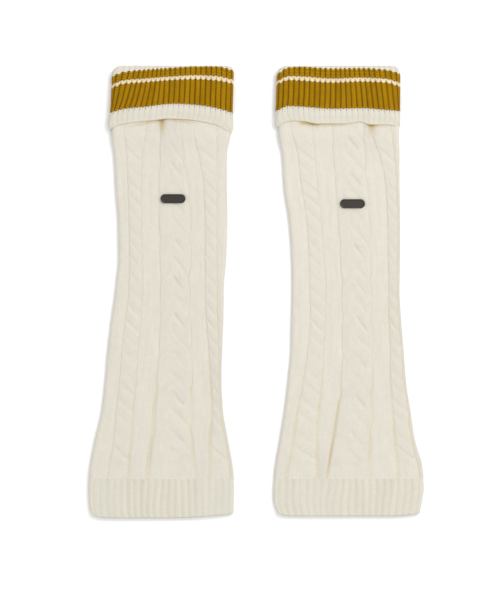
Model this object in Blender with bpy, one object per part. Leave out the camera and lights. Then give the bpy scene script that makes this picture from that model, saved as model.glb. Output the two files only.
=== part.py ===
"""A pair of cable-knit leg warmers, laid flat side by side.

Each warmer is a knitted tube: a ribbed top turned down over itself, a leg with two rope cables and
one four-strand cable, a ribbed hem, and a small blank metal plate on the middle cable. X runs across
the pair, Y up its length and Z up from the surface that it lies on. All sizes are in millimetres.
"""

import math
from collections import namedtuple

import bmesh
import bpy
import numpy as np

MM = 0.001

# The pair
LENGTH = 451.0  # from the top fold to the lowest point of the hem
SPACING = 166.0  # between the two warmers' centre lines
SEAM = 0.3  # clearance between pieces that are knitted or pressed together

# The cloth
WALL = 2.3  # the front wall of the leg and hem
BACK_WALL = 2.2
SLIT = 1.3  # between the front and back walls, which lie on each other
TUBE_HIGH = WALL + SLIT + BACK_WALL
PURL_DEEP = 0.7  # purl columns beside the cables
CABLE_HIGH = 1.6

# The turned-down cuff
CUFF_BACK = 2.0
CUFF_BASE = 1.5  # its front wall under the ribs
CUFF_RIB = 1.0
CUFF_RIBS = 25  # across the front
RETURN_DOWN = 46.2  # the lower rim of the part that is turned inside
RAISED = CUFF_BACK + SEAM  # what the turned-down back lifts the tube by
CUFF_HIGH = RAISED + TUBE_HIGH + SEAM + CUFF_BASE + CUFF_RIB
CUFF_FLARE = 0.4  # how much prouder its lower edge stands
CUFF_LONG = 60.0  # from the fold to its lower edge at the sides
CUFF_LEAN = 0.035  # how far its middle ribs slant, as a share of its width

# The leg
LEG_TOP = RETURN_DOWN + SEAM
LEG_END = 411.5
SETTLE_FROM, SETTLE_TO = 67.0, 88.0  # where the tube comes down past the cuff
CABLE_END = 400.0
ROPE_FALL = 12.0  # a rope cable's groove falls this much from left to right
ROPE_FIRST, ROPE_PITCH, ROPE_GROWTH = 84.0, 15.0, 0.033
ROPE_LINES = ((0.0, 0.3), (0.3, 0.95), (0.7, 0.95))  # (share of its pitch, height) from its groove
STRANDS_WIDE = 30.0  # the four-strand cable
CROSSING = 13.0  # length of one of its crossings
CROSSING_AFTER = 0.58  # the inner pair crosses this share of a period after the outer pairs
CROSSING_ROWS = (-6.0, -2.0, 2.0, 6.0)
OVER, UNDER = 0.2, 0.5  # how much higher and lower its strands run where they cross
CABLE_FADE = 9.0  # how far a cable takes to come up from the cuff and go down to the hem
CABLE_CLEAR = 5.0  # plain stretch at the leg's two rims

# The hem
HEM_TOP = LEG_END + SEAM
HEM_RIB = 0.9
HEM_RIBS = 23

# The blank plate
PLATE_LONG, PLATE_WIDE, PLATE_THICK = 25.0, 9.0, 1.4
PLATE_BEVEL = 0.4
PLATE_STEPS = 8  # round each end
PLATE_SEAT = CABLE_HIGH * 1.15 + SEAM  # over the leg's plain face, where strands cross

# Edges of the tube and its six purl columns, across from the warmer's centre line, at each section
# down from the top fold.
Section = namedtuple("Section", "down left g1 g2 g3 g4 g5 g6 right")
# Outline of the cuff and of the hem, at each section down.
Outline = namedtuple("Outline", "down left right")
# A lower edge: how far down it lies at each place across.
Edge = namedtuple("Edge", "across down")
# A place where the cuff's lower edge stands proud.
Lift = namedtuple("Lift", "across spread high")
# A purl column that is pressed in deeper, as a crease: which one, and where.
Crease = namedtuple("Crease", "column start end deep")
# The four-strand cable: its first outer crossing, the next one's distance, and how that grows.
Strands = namedtuple("Strands", "first period growth")
Warmer = namedtuple("Warmer", "name side sections cuff cuff_edge lifts creases strands hem hem_edge plate")

LEFT = Warmer(
    name="left",
    side=-1,
    sections=(
        Section(46.5, -58.0, -49.5, -25.0, -12.5, 5.0, 19.0, 43.5, 58.0),
        Section(70.5, -58.5, -48.5, -27.5, -13.0, 8.0, 21.0, 44.0, 56.5),
        Section(88.5, -57.5, -47.0, -30.5, -13.5, 10.5, 25.5, 44.0, 53.5),
        Section(118.5, -56.5, -45.5, -31.5, -14.5, 15.5, 30.0, 44.0, 53.5),
        Section(155.5, -53.5, -44.5, -31.5, -14.0, 17.5, 31.5, 44.0, 54.5),
        Section(188.5, -53.0, -44.0, -31.0, -13.5, 17.5, 31.5, 44.0, 53.5),
        Section(221.5, -56.0, -44.5, -30.5, -13.0, 16.5, 31.5, 44.0, 50.5),
        Section(253.5, -60.0, -48.0, -32.0, -13.0, 17.5, 33.0, 44.5, 50.5),
        Section(283.5, -63.5, -51.5, -34.5, -14.5, 18.5, 35.0, 45.5, 49.5),
        Section(313.5, -66.0, -54.0, -37.0, -16.5, 19.0, 37.0, 46.5, 49.0),
        Section(343.5, -69.5, -57.0, -39.5, -19.0, 18.5, 38.0, 48.0, 50.5),
        Section(373.5, -77.0, -60.0, -42.0, -22.0, 19.0, 36.5, 53.0, 55.5),
        Section(398.5, -83.0, -64.0, -44.5, -25.0, 21.0, 36.0, 56.0, 59.5),
        Section(411.5, -84.0, -65.5, -45.0, -26.0, 22.5, 35.5, 57.5, 61.0),
    ),
    cuff=(
        Outline(0.0, -61.0, 61.5),
        Outline(44.0, -61.5, 61.5),
        Outline(66.0, -61.8, 60.5),
    ),
    cuff_edge=(
        Edge(-61.0, 62.0),
        Edge(-51.5, 59.0),
        Edge(-35.5, 55.5),
        Edge(-6.5, 53.0),
        Edge(12.5, 53.5),
        Edge(36.5, 55.5),
        Edge(49.5, 59.0),
        Edge(60.0, 65.0),
    ),
    lifts=(Lift(-10.5, 5.0, 0.9), Lift(54.0, 6.0, 0.7)),
    creases=(Crease("g3", 50.0, 76.0, 0.5), Crease("g3", 300.0, 411.5, 0.3)),
    strands=Strands(62.5, 38.0, 0.0),
    hem=(
        Outline(411.8, -84.0, 61.0),
        Outline(430.0, -84.5, 61.5),
        Outline(451.0, -84.5, 61.0),
    ),
    hem_edge=(
        Edge(-84.5, 445.5),
        Edge(-79.0, 449.0),
        Edge(-64.0, 451.0),
        Edge(10.0, 451.0),
        Edge(50.0, 448.5),
        Edge(61.0, 444.5),
    ),
    plate=(0.0, 132.5),
)

RIGHT = Warmer(
    name="right",
    side=1,
    sections=(
        Section(46.5, -59.5, -51.5, -27.5, -8.5, 22.5, 29.5, 48.5, 59.5),
        Section(70.5, -58.0, -46.5, -26.5, -7.5, 24.5, 33.0, 52.5, 59.0),
        Section(88.5, -55.5, -42.0, -24.5, -6.5, 26.0, 39.5, 55.0, 60.0),
        Section(118.5, -54.0, -38.5, -21.5, -4.0, 28.0, 45.5, 57.0, 60.0),
        Section(155.5, -48.5, -33.0, -18.0, -1.5, 30.5, 47.5, 58.0, 60.5),
        Section(188.5, -46.5, -31.0, -15.5, 0.5, 31.0, 48.0, 58.0, 60.5),
        Section(221.5, -46.0, -30.0, -13.5, 2.0, 32.0, 48.5, 57.5, 60.0),
        Section(253.5, -46.5, -29.5, -14.0, 2.5, 33.0, 49.0, 59.0, 61.5),
        Section(283.5, -47.5, -32.0, -15.5, 2.5, 33.5, 50.0, 61.5, 64.0),
        Section(313.5, -50.0, -36.5, -17.5, 1.5, 33.0, 50.5, 64.0, 66.5),
        Section(343.5, -54.0, -42.0, -20.5, -1.5, 32.5, 52.5, 68.0, 71.0),
        Section(373.5, -59.0, -46.5, -22.5, -6.5, 31.0, 55.0, 72.0, 75.5),
        Section(398.5, -63.5, -51.0, -22.0, -10.5, 30.0, 57.5, 78.0, 82.5),
        Section(411.5, -65.0, -53.0, -21.5, -12.5, 29.5, 58.5, 80.0, 84.0),
    ),
    cuff=(
        Outline(0.0, -62.8, 62.5),
        Outline(30.0, -63.5, 62.8),
        Outline(62.0, -62.5, 62.3),
    ),
    cuff_edge=(
        Edge(-61.0, 61.0),
        Edge(-52.5, 55.5),
        Edge(-42.5, 54.5),
        Edge(-31.5, 56.0),
        Edge(-2.5, 57.0),
        Edge(21.5, 55.5),
        Edge(30.5, 57.0),
        Edge(60.5, 59.0),
    ),
    lifts=(Lift(-24.0, 11.0, 1.2), Lift(31.5, 6.0, 1.0)),
    creases=(Crease("g3", 320.0, 411.5, 0.6),),
    strands=Strands(74.8, 34.8, 0.26),
    hem=(
        Outline(411.8, -65.0, 84.0),
        Outline(430.0, -66.0, 84.5),
        Outline(449.0, -65.5, 84.0),
    ),
    hem_edge=(
        Edge(-65.5, 443.0),
        Edge(-58.0, 447.0),
        Edge(-48.0, 449.0),
        Edge(60.0, 449.0),
        Edge(76.0, 447.5),
        Edge(84.0, 440.0),
    ),
    plate=(13.0, 137.5),
)

# A flattened tube's outline at one section: its silhouettes, and its lowest and highest surface.
Layer = namedtuple("Layer", "left right low high")


def smooth(at, xs, ys):
    """A curve through a table's rows that never swings past them."""
    xs, ys = np.asarray(xs, float), np.asarray(ys, float)
    step = np.diff(xs)
    rise = np.diff(ys) / step
    product = rise[:-1] * rise[1:]
    inner = np.where(product > 0, 2 * product / np.where(product > 0, rise[:-1] + rise[1:], 1), 0)
    slope = np.concatenate([rise[:1], inner, rise[-1:]])
    at = np.clip(at, xs[0], xs[-1])
    i = np.clip(np.searchsorted(xs, at) - 1, 0, len(xs) - 2)
    t = (at - xs[i]) / step[i]
    bend = step[i] * (slope[i] * t * (1 - t) ** 2 - slope[i + 1] * t * t * (1 - t))
    return ys[i] + (ys[i + 1] - ys[i]) * t * t * (3 - 2 * t) + bend


def ease(t):
    """0 to 1 with no sudden start or stop."""
    t = np.clip(t, 0.0, 1.0)
    return t * t * (3 - 2 * t)


def table(rows, x, y, at):
    """Column y of a table at this value of its column x."""
    return smooth(at, [getattr(row, x) for row in rows], [getattr(row, y) for row in rows])


def half_round(layer):
    """(corner radius, length of a quarter turn, length over the front from side to side)."""
    radius = (layer.high - layer.low) / 2
    quarter = math.pi * radius / 2
    return radius, quarter, 2 * quarter + layer.right - layer.left - 2 * radius


def on_tube(layer, run, back=False):
    """((x, z), outward (x, z)) this far over a flattened tube, from its left side, in mm."""
    radius, quarter, whole = half_round(layer)
    middle = (layer.low + layer.high) / 2
    if run < quarter:
        turn = run / radius
        x, z = layer.left + radius * (1 - math.cos(turn)), radius * math.sin(turn)
        out = (-math.cos(turn), math.sin(turn))
    elif run > whole - quarter:
        turn = (whole - run) / radius
        x, z = layer.right - radius * (1 - math.cos(turn)), radius * math.sin(turn)
        out = (math.cos(turn), math.sin(turn))
    else:
        x, z, out = layer.left + radius + run - quarter, radius, (0.0, 1.0)
    if back:
        return (x, middle - z), (out[0], -out[1])
    return (x, middle + z), out


def run_to(layer, x):
    """The distance over the tube, from its left side, to this place across."""
    radius, quarter, whole = half_round(layer)
    from_left, from_right = x - layer.left, layer.right - x
    if from_left < radius:
        return radius * math.acos(1 - max(from_left, 0) / radius)
    if from_right < radius:
        return whole - radius * math.acos(1 - max(from_right, 0) / radius)
    return from_left - radius + quarter


def place(warmer, x, z, down):
    """A point of the warmer in metres."""
    return ((x + warmer.side * SPACING / 2) * MM, (LENGTH / 2 - down) * MM, z * MM)


class Shell:
    """A mesh that is sewn from rows of points."""

    def __init__(self):
        self.points, self.faces = [], []

    def add(self, points):
        first = len(self.points)
        self.points += points
        return list(range(first, len(self.points)))

    def sew(self, a, a_keys, b, b_keys):
        """Joins two rows of points with triangles, going along both keys together."""
        i = j = 0
        while i < len(a) - 1 or j < len(b) - 1:
            next_a = abs(a_keys[i + 1] - b_keys[j]) if i < len(a) - 1 else math.inf
            next_b = abs(b_keys[j + 1] - a_keys[i]) if j < len(b) - 1 else math.inf
            if next_a <= next_b:
                self.faces.append((a[i], a[i + 1], b[j]))
                i += 1
            else:
                self.faces.append((a[i], b[j + 1], b[j]))
                j += 1

    def sew_rings(self, a, a_keys, b, b_keys, round_it=2.0):
        """The same for two closed rings, whose keys grow by round_it in one turn."""
        self.sew(
            a + a[:1], list(a_keys) + [a_keys[0] + round_it],
            b + b[:1], list(b_keys) + [b_keys[0] + round_it],
        )

    def make(self, name, material):
        mesh = bpy.data.meshes.new(name)
        mesh.from_pydata(self.points, [], self.faces)
        work = bmesh.new()
        work.from_mesh(mesh)
        bmesh.ops.recalc_face_normals(work, faces=work.faces)
        work.to_mesh(mesh)
        work.free()
        mesh.materials.append(material)
        obj = bpy.data.objects.new(name, mesh)
        bpy.context.scene.collection.objects.link(obj)
        return obj


# ---- The leg

# Where the wall's columns of points lie between two neighbouring lines of the sections' table. The
# zones run from the left side, over the six purl columns, to the right side.
GROOVES = ("left", "g1", "g2", "g3", "g4", "g5", "g6", "right")
SIDE, PLAIN, ROPE, STRAND = "side", "plain", "rope", "strand"
ZONES = (SIDE, ROPE, PLAIN, STRAND, PLAIN, ROPE, SIDE)
COLUMNS = {
    SIDE: (0.3, 0.6, 0.86),
    PLAIN: (0.12, 0.88),
    ROPE: (0.06, 0.28, 0.5, 0.72, 0.94),
    STRAND: (0.03, 0.125, 0.25, 0.375, 0.5, 0.625, 0.75, 0.875, 0.97),
}
BACK_COLUMNS = (0.985, 0.96, 0.72, 0.5, 0.28, 0.04, 0.015)
PLAIN_ROWS = (
    (LEG_TOP, 56.0, 62.0, SETTLE_FROM, 72.0, 77.0, 82.0, SETTLE_TO)
    + tuple(104.0 + 17.0 * i for i in range(18))
    + (LEG_END,)
)


def leg_layer(warmer, down):
    low = RAISED * (1 - ease((down - SETTLE_FROM) / (SETTLE_TO - SETTLE_FROM)))
    left = float(table(warmer.sections, "down", "left", down))
    right = float(table(warmer.sections, "down", "right", down))
    return Layer(left, right, low, low + TUBE_HIGH)


def rope_notch(k):
    """How far down the k-th groove of a rope cable starts, at its left."""
    return ROPE_FIRST + ROPE_PITCH * k + ROPE_GROWTH * k * k


def rope_rows(share):
    """(down, height from 0 to 1) along a rope cable, at this share of its width."""
    rows = []
    for k in range(-3, 22):
        start, end = rope_notch(k), rope_notch(k + 1)
        for part, high in ROPE_LINES:
            rows.append((start + part * (end - start) + ROPE_FALL * share, high))
    return rows


def crossings(strands):
    """(down, whether the outer pairs cross) for each crossing of the four-strand cable."""
    found = []
    for k in range(-1, 10):
        start = strands.first + strands.period * k + strands.growth * k * k
        found += [(start, True), (start + CROSSING_AFTER * strands.period, False)]
    return found


def strand_height(warmer, share, down):
    """Height, from 0 to 1, of the four-strand cable at this share of its width."""
    middle, outer = min(crossings(warmer.strands), key=lambda c: abs(c[0] - down))
    t = float(ease((down - middle) / CROSSING + 0.5))
    over, half_slot = 4 * t * (1 - t), 0.125
    if outer:
        moves = ((0.375, 0.125, 1), (0.125, 0.375, -1), (0.625, 0.875, 1), (0.875, 0.625, -1))
    else:
        moves = ((0.125, 0.125, 0), (0.375, 0.625, 1), (0.625, 0.375, -1), (0.875, 0.875, 0))
    high = 0.0
    for start, end, lift in moves:
        slope = abs(end - start) * STRANDS_WIDE * over * 1.5 / CROSSING
        half = half_slot * math.hypot(1, slope)
        away = abs(share - start - (end - start) * t) / half
        crest = 1 + over * lift * (OVER if lift > 0 else UNDER)
        high = max(high, crest * math.sqrt(max(0.0, 1 - 0.85 * away * away)) if away < 1 else 0)
    return high


def shown_share(warmer, x, down):
    """How much of a cable's height stands here: none under the cuff, none by the hem."""
    under = float(table(warmer.cuff_edge, "across", "down", x))
    shown = ease((down - under - 1) / CABLE_FADE) * (1 - ease((down - CABLE_END) / CABLE_FADE))
    return float(shown)


def purl_depth(warmer, groove, down):
    deep = PURL_DEEP
    for crease in warmer.creases:
        if crease.column == groove:
            part = (down - crease.start) / (crease.end - crease.start)
            deep += crease.deep * math.sin(math.pi * min(max(part, 0), 1)) ** 0.5
    return deep


def leg_point(warmer, zone, share, down, height):
    """A point of the outer wall: height is above the plain face, for cables as a share."""
    layer = leg_layer(warmer, down)
    at = [float(table(warmer.sections, "down", name, down)) for name in GROOVES[zone:zone + 2]]
    runs = [run_to(layer, x) for x in at]
    if zone == 0:
        runs[0] = 0.0
    if zone == len(ZONES) - 1:
        runs[1] = half_round(layer)[2]
    (x, z), out = on_tube(layer, runs[0] + share * (runs[1] - runs[0]))
    if ZONES[zone] in (ROPE, STRAND):
        edge = 1 - 0.5 * abs(2 * share - 1) ** 3 if ZONES[zone] == ROPE else 1.0
        height *= CABLE_HIGH * edge * shown_share(warmer, x, down)
    return place(warmer, x + out[0] * height, z + out[1] * height, down)


def groove_point(warmer, zone, down):
    """A point where this zone starts: the left side, or the bottom of a purl column."""
    if zone == 0:
        return leg_point(warmer, zone, 0.0, down, 0.0)
    layer = leg_layer(warmer, down)
    x = float(table(warmer.sections, "down", GROOVES[zone], down))
    (x, z), out = on_tube(layer, run_to(layer, x))
    deep = purl_depth(warmer, GROOVES[zone], down)
    return place(warmer, x - out[0] * deep, z - out[1] * deep, down)


def cable_rows(warmer, kind, share):
    """(down, height from 0 to 1) along a cable at this share of its width, end to end."""
    if kind == ROPE:
        rows = rope_rows(share)
    else:
        downs = [middle + part for middle, _ in crossings(warmer.strands) for part in CROSSING_ROWS]
        rows = [(d, strand_height(warmer, share, d)) for d in downs]
    rows = [row for row in rows if LEG_TOP + CABLE_CLEAR < row[0] < LEG_END - CABLE_CLEAR]
    return [(LEG_TOP, 0.0), *rows, (LEG_END, 0.0)]


def leg_columns(warmer):
    """[(zone or None, fall over the zone's width, downs, points)] round the outer wall."""
    found = []
    for zone, kind in enumerate(ZONES):
        start = [groove_point(warmer, zone, d) for d in PLAIN_ROWS]
        found.append((None, 0.0, PLAIN_ROWS, start))
        for share in COLUMNS[kind]:
            if kind in (ROPE, STRAND):
                rows = cable_rows(warmer, kind, share)
            else:
                rows = [(d, 0.0) for d in PLAIN_ROWS]
            fall = ROPE_FALL * share if kind == ROPE else 0.0
            points = [leg_point(warmer, zone, share, d, high) for d, high in rows]
            found.append((zone, fall, [d for d, _ in rows], points))
    last = len(ZONES) - 1
    points = [leg_point(warmer, last, 1.0, d, 0.0) for d in PLAIN_ROWS]
    found.append((None, 0.0, PLAIN_ROWS, points))
    for share in BACK_COLUMNS:
        points = []
        for down in PLAIN_ROWS:
            layer = leg_layer(warmer, down)
            (x, z), _ = on_tube(layer, share * half_round(layer)[2], back=True)
            points.append(place(warmer, x, z, down))
        found.append((None, 0.0, PLAIN_ROWS, points))
    return found


def inner_ring(warmer, layer, down, shares):
    """Points round a plain ring, over the front and back under it, with their keys."""
    whole = half_round(layer)[2]
    points, keys = [], []
    for share in shares:
        (x, z), _ = on_tube(layer, share * whole)
        points.append(place(warmer, x, z, down))
        keys.append(share)
    for share in reversed(shares[1:-1]):
        (x, z), _ = on_tube(layer, share * whole, back=True)
        points.append(place(warmer, x, z, down))
        keys.append(2 - share)
    return points, keys


def walled(layer):
    """The inside of the leg's or the hem's wall."""
    return Layer(
        layer.left + WALL, layer.right - WALL, layer.low + BACK_WALL, layer.high - WALL
    )


INNER_SHARES = (0.0, 0.005, 0.12, 0.35, 0.65, 0.88, 0.995, 1.0)


def make_leg(warmer, material):
    shell = Shell()
    columns = leg_columns(warmer)
    rows = [shell.add(points) for _, _, _, points in columns]
    for i, (zone, fall, downs, _) in enumerate(columns):
        j = (i + 1) % len(columns)
        other_zone, other_fall, other_downs, _ = columns[j]
        same = zone is not None and zone == other_zone
        shell.sew(
            rows[i], [d - fall * same for d in downs],
            rows[j], [d - other_fall * same for d in other_downs],
        )
    inner = []
    for down in PLAIN_ROWS:
        points, keys = inner_ring(warmer, walled(leg_layer(warmer, down)), down, INNER_SHARES)
        inner.append(shell.add(points))
    for a, b in zip(inner, inner[1:]):
        shell.sew_rings(a, keys, b, keys)
    front = sum(1 + len(COLUMNS[kind]) for kind in ZONES)
    for end in (0, -1):
        ring = [row[end] for row in rows]
        xs = [shell.points[p][0] for p in ring]
        wide = xs[front] - xs[0]
        outer_keys = [
            (x - xs[0]) / wide if i <= front else 2 - (x - xs[0]) / wide
            for i, x in enumerate(xs)
        ]
        shell.sew_rings(ring, outer_keys, inner[end], keys)
    return shell.make(f"{warmer.name}_leg", material)


# ---- The ribbed cuff and hem

RIB_LINES = ((0.1, 0.0), (0.24, 1.0), (0.76, 1.0), (0.9, 0.0))  # (share of its pitch, height)
# How far up from its lower edge the cuff's rings lie, and how much of its flare each has.
CUFF_RINGS = ((0.0, 1.0), (0.12, 0.75), (0.45, 0.2), (1.0, 0.0))
FOLD_TURNS = ((50, 1.0), (90, 1.0), (130, 0.6))  # (degrees over the fold, share of the rib's height)
RETURN_MIDDLE = 20.0
HEM_RINGS = (0.0, 0.5, 1.0)
HEM_LONG = 38.0

def ribbed_shares(ribs):
    """[(share of the front, height from 0 to 1)] over all ribs, four points to each."""
    found = []
    for k in range(ribs):
        for part, high in RIB_LINES:
            found.append(((k + part) / ribs, high))
    return [(0.0, 1.0), *found, (1.0, 1.0)]


def ribbed_ring(warmer, layer, ribs, rib, down_at, lean=0.0, tilt=0.0):
    """A ring with ribs over its front. tilt turns the ribs' height towards the fold."""
    whole = half_round(layer)[2]
    points, keys = [], []
    for share, high in ribbed_shares(ribs):
        moved = share + lean * math.sin(math.pi * share) ** 2
        (x, z), out = on_tube(layer, moved * whole)
        cut = rib * (high - 1)
        sunk = cut * math.cos(tilt)
        x, z = x + out[0] * sunk, z + out[1] * sunk
        points.append(place(warmer, x, z, down_at(x) - cut * math.sin(tilt)))
        keys.append(share)
    for share in BACK_COLUMNS:
        (x, z), _ = on_tube(layer, share * whole, back=True)
        points.append(place(warmer, x, z, down_at(x)))
        keys.append(2 - share)
    return points, keys


def mixed(a, b, part):
    return Layer(*(p + (q - p) * part for p, q in zip(a, b)))


def lifted(warmer, points, share):
    """The front of the cuff, raised where its lower edge stands proud."""
    moved = []
    for x, y, z in points:
        across = x / MM - warmer.side * SPACING / 2
        high = sum(
            lift.high * math.exp(-(((across - lift.across) / lift.spread) ** 2))
            for lift in warmer.lifts
        )
        above = ease((z / MM - RAISED) / (CUFF_HIGH - RAISED))
        moved.append((x, y, z + high * share * float(above) * MM))
    return moved


PLAIN_SHARES = (0.0, 0.02, 0.045, 0.12, 0.2, 0.3, 0.4, 0.5, 0.6, 0.7, 0.8, 0.88, 0.955, 0.98, 1.0)


def make_cuff(warmer, material):
    """The rib, from its turned-down lower edge up its outside, over the fold and down inside."""

    def outer(down, flare=0.0):
        left = float(table(warmer.cuff, "down", "left", down))
        right = float(table(warmer.cuff, "down", "right", down))
        return Layer(left, right, 0.0, CUFF_HIGH + flare)

    def edge(x):
        return float(table(warmer.cuff_edge, "across", "down", x))

    side_wall = WALL
    inside = leg_layer(warmer, LEG_TOP)
    fold_in = (CUFF_HIGH - (inside.high - WALL)) / 2  # the fold's radius

    def return_inside(down):
        around = outer(down)
        deep = side_wall + SEAM + WALL
        return Layer(
            around.left + deep, around.right - deep, RAISED + BACK_WALL, inside.high - WALL
        )

    def return_outside(down):
        around = outer(down)
        deep = side_wall + SEAM
        return Layer(around.left + deep, around.right - deep, RAISED, inside.high)

    def outer_inside(down, flare=0.0):
        around = outer(down)
        high = inside.high + SEAM + flare
        return Layer(around.left + side_wall, around.right - side_wall, CUFF_BACK, high)

    shell = Shell()
    rings = []

    def ring(points, keys):
        rings.append((shell.add(points), keys))

    lean = -warmer.side * CUFF_LEAN
    for up, lift in CUFF_RINGS:
        layer = outer(CUFF_LONG * (1 - up), CUFF_FLARE * lift)
        points, keys = ribbed_ring(
            warmer, layer, CUFF_RIBS, CUFF_RIB,
            lambda x, up=up: edge(x) + (fold_in - edge(x)) * up,
            lean * (up - 0.5),
        )
        ring(lifted(warmer, points, lift), keys)
    top_outer, top_inner = outer(0.0), return_inside(0.0)
    for turn, rib_share in FOLD_TURNS:
        tilt = math.radians(turn)
        layer = mixed(top_outer, top_inner, (1 - math.cos(tilt)) / 2)
        down = fold_in * (1 - math.sin(tilt))
        points, keys = ribbed_ring(
            warmer, layer, CUFF_RIBS, CUFF_RIB * rib_share,
            lambda x, down=down: down, lean * 0.5, min(tilt, math.pi / 2),
        )
        ring(points, keys)
    for down in (fold_in, RETURN_MIDDLE, RETURN_DOWN):
        ring(*inner_ring(warmer, return_inside(down), down, PLAIN_SHARES))
    for down in (RETURN_DOWN, RETURN_MIDDLE, fold_in):
        ring(*inner_ring(warmer, return_outside(down), down, PLAIN_SHARES))
    gap_top = mixed(return_outside(0.0), outer_inside(0.0), 0.5)
    ring(*inner_ring(warmer, gap_top, fold_in - SEAM / 2, PLAIN_SHARES))
    for up, lift in reversed(CUFF_RINGS):
        layer = outer_inside(CUFF_LONG * (1 - up), CUFF_FLARE * lift)
        points, keys = inner_ring(warmer, layer, 0.0, PLAIN_SHARES)
        low = [edge(p[0] / MM - warmer.side * SPACING / 2) for p in points]
        points = [
            (x, (LENGTH / 2 - (at + (fold_in - at) * up)) * MM, z)
            for (x, _, z), at in zip(points, low)
        ]
        ring(lifted(warmer, points, lift), keys)
    for (a, a_keys), (b, b_keys) in zip(rings, rings[1:] + rings[:1]):
        shell.sew_rings(a, a_keys, b, b_keys)
    return shell.make(f"{warmer.name}_cuff", material)


def make_hem(warmer, material):
    """The ribbed band at the bottom of the tube."""

    def outer(down):
        left = float(table(warmer.hem, "down", "left", down))
        right = float(table(warmer.hem, "down", "right", down))
        return Layer(left, right, 0.0, TUBE_HIGH)

    def edge(x):
        return float(table(warmer.hem_edge, "across", "down", x))

    shell = Shell()
    rings = []
    for part in HEM_RINGS:
        layer = outer(HEM_TOP + HEM_LONG * part)
        points, keys = ribbed_ring(
            warmer, layer, HEM_RIBS, HEM_RIB,
            lambda x, part=part: HEM_TOP + (edge(x) - HEM_TOP) * part,
        )
        rings.append((shell.add(points), keys))
    for part in reversed(HEM_RINGS):
        layer = walled(outer(HEM_TOP + HEM_LONG * part))
        points, keys = inner_ring(warmer, layer, 0.0, PLAIN_SHARES)
        low = [edge(p[0] / MM - warmer.side * SPACING / 2) for p in points]
        points = [
            (x, (LENGTH / 2 - (HEM_TOP + (at - HEM_TOP) * part)) * MM, z)
            for (x, _, z), at in zip(points, low)
        ]
        rings.append((shell.add(points), keys))
    for (a, a_keys), (b, b_keys) in zip(rings, rings[1:] + rings[:1]):
        shell.sew_rings(a, a_keys, b, b_keys)
    return shell.make(f"{warmer.name}_hem", material)


# ---- The blank plate


def make_plate(warmer, material):
    """A plain oblong with round ends, pinned flat on the middle cable."""
    mesh = bpy.data.meshes.new(f"{warmer.name}_badge")
    work = bmesh.new()
    radius, straight = PLATE_WIDE / 2, (PLATE_LONG - PLATE_WIDE) / 2
    outline = []
    for end in (1, -1):
        for step in range(PLATE_STEPS + 1):
            turn = math.pi * (step / PLATE_STEPS - 0.5)
            x, y = straight + radius * math.cos(turn), radius * math.sin(turn)
            outline.append((end * x, end * y))
    face = work.faces.new([work.verts.new((x * MM, y * MM, 0)) for x, y in outline])
    raised = bmesh.ops.extrude_face_region(work, geom=[face])
    top = [v for v in raised["geom"] if isinstance(v, bmesh.types.BMVert)]
    bmesh.ops.translate(work, verts=top, vec=(0, 0, PLATE_THICK * MM))
    rim = [e for e in work.edges if e.verts[0] in top and e.verts[1] in top]
    bmesh.ops.bevel(work, geom=rim, offset=PLATE_BEVEL * MM, segments=1, affect="EDGES")
    bmesh.ops.recalc_face_normals(work, faces=work.faces)
    work.to_mesh(mesh)
    work.free()
    mesh.materials.append(material)
    obj = bpy.data.objects.new(f"{warmer.name}_badge", mesh)
    across, down = warmer.plate
    obj.location = place(warmer, across, TUBE_HIGH + PLATE_SEAT, down)
    bpy.context.scene.collection.objects.link(obj)
    return obj


def finish(name, colour, roughness, metallic=0.0):
    material = bpy.data.materials.new(name)
    material.use_nodes = True
    shader = material.node_tree.nodes["Principled BSDF"]
    shader.inputs["Base Color"].default_value = (*colour, 1.0)
    shader.inputs["Roughness"].default_value = roughness
    shader.inputs["Metallic"].default_value = metallic
    return material


def main():
    for obj in list(bpy.data.objects):
        bpy.data.objects.remove(obj)
    cream = finish("cream cable knit", (0.78, 0.75, 0.66), 0.95)
    striped = finish("mustard and cream rib", (0.30, 0.16, 0.01), 0.95)
    rib = finish("cream rib", (0.74, 0.71, 0.62), 0.95)
    metal = finish("gunmetal", (0.09, 0.09, 0.09), 0.35, 1.0)
    for warmer in (LEFT, RIGHT):
        make_leg(warmer, cream)
        make_cuff(warmer, striped)
        make_hem(warmer, rib)
        make_plate(warmer, metal)


main()
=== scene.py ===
"""A pair of cable-knit leg warmers, lying flat side by side on a pale floor.

Lengths are in millimetres until a mesh is made. Places are given from each warmer's own centre line,
positive to the right, and down from the fold at its top.
"""

import math
from collections import namedtuple

import bpy
import numpy as np
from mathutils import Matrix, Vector


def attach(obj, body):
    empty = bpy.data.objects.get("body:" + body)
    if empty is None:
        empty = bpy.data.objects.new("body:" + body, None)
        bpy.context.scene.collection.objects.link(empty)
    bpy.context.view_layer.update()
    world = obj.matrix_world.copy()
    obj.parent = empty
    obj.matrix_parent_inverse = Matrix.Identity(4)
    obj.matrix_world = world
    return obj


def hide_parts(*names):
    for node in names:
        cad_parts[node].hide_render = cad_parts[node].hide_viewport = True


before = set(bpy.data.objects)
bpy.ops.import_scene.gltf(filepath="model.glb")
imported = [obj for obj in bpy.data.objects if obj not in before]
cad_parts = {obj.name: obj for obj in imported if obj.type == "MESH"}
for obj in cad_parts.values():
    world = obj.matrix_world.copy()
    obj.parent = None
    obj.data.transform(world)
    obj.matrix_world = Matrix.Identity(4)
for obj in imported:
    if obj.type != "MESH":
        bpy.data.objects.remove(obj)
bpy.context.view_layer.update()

# ---- The cable-knit leg
# A tube knitted in the round from thick cream yarn, wider at the ankle than below the knee. Its front
# has two rope cables and a plaited one, each between sunken purl columns, and plain columns between.

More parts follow.
